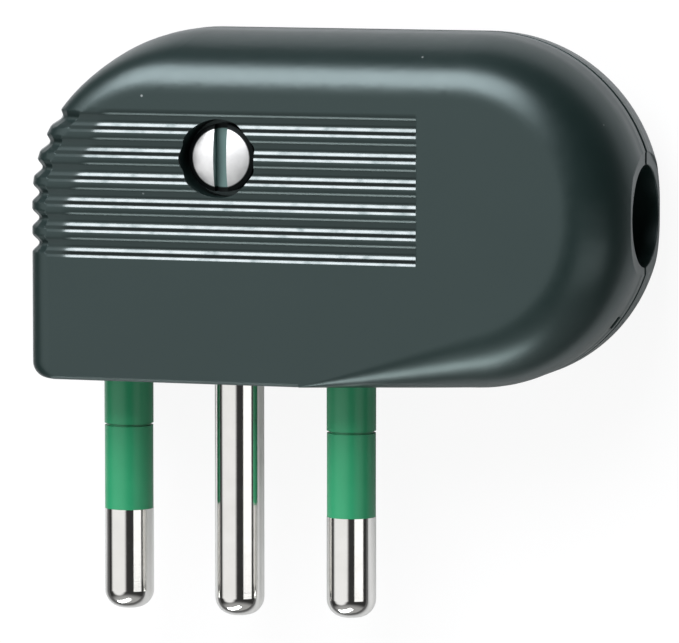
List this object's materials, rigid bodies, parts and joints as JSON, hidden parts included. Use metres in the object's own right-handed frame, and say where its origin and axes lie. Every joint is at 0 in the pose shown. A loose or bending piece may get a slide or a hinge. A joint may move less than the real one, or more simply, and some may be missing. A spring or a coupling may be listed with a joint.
{
  "type": "angled plug",
  "caption": "Right-angle mains plug: crowned two-half body with grip grooves and a side cable entry, closed by one screw, with a bare earth pin between two sleeved pins.",
  "frame": {"origin": "axis of the earth pin where it leaves the engagement face, at the plane where the two halves meet", "axes": "+X along the body towards the cable entry, -Y along the pins, +Z the normal of the front face; the plug lies on its rear face"},
  "size_m": [0.0495, 0.0477, 0.016],
  "materials": {
    "body_plastic": "satin moulded, near black with a green-grey cast",
    "nickel_brass": "bright nickel plate",
    "zinc_steel": "bright zinc plate",
    "sleeve_green": "smooth moulded",
    "clamp_plastic": "plain moulded"
  },
  "bodies": {
    "root": {"front_shell": "body_plastic", "rear_shell": "body_plastic", "closing_screw": "zinc_steel", "closing_nut": "zinc_steel", "left_pin": "nickel_brass", "earth_pin": "nickel_brass", "right_pin": "nickel_brass", "left_sleeve": "sleeve_green", "right_sleeve": "sleeve_green", "terminal_screws": "zinc_steel", "cord_clamp": "clamp_plastic", "clamp_screws": "zinc_steel"}
  },
  "joints": []
}
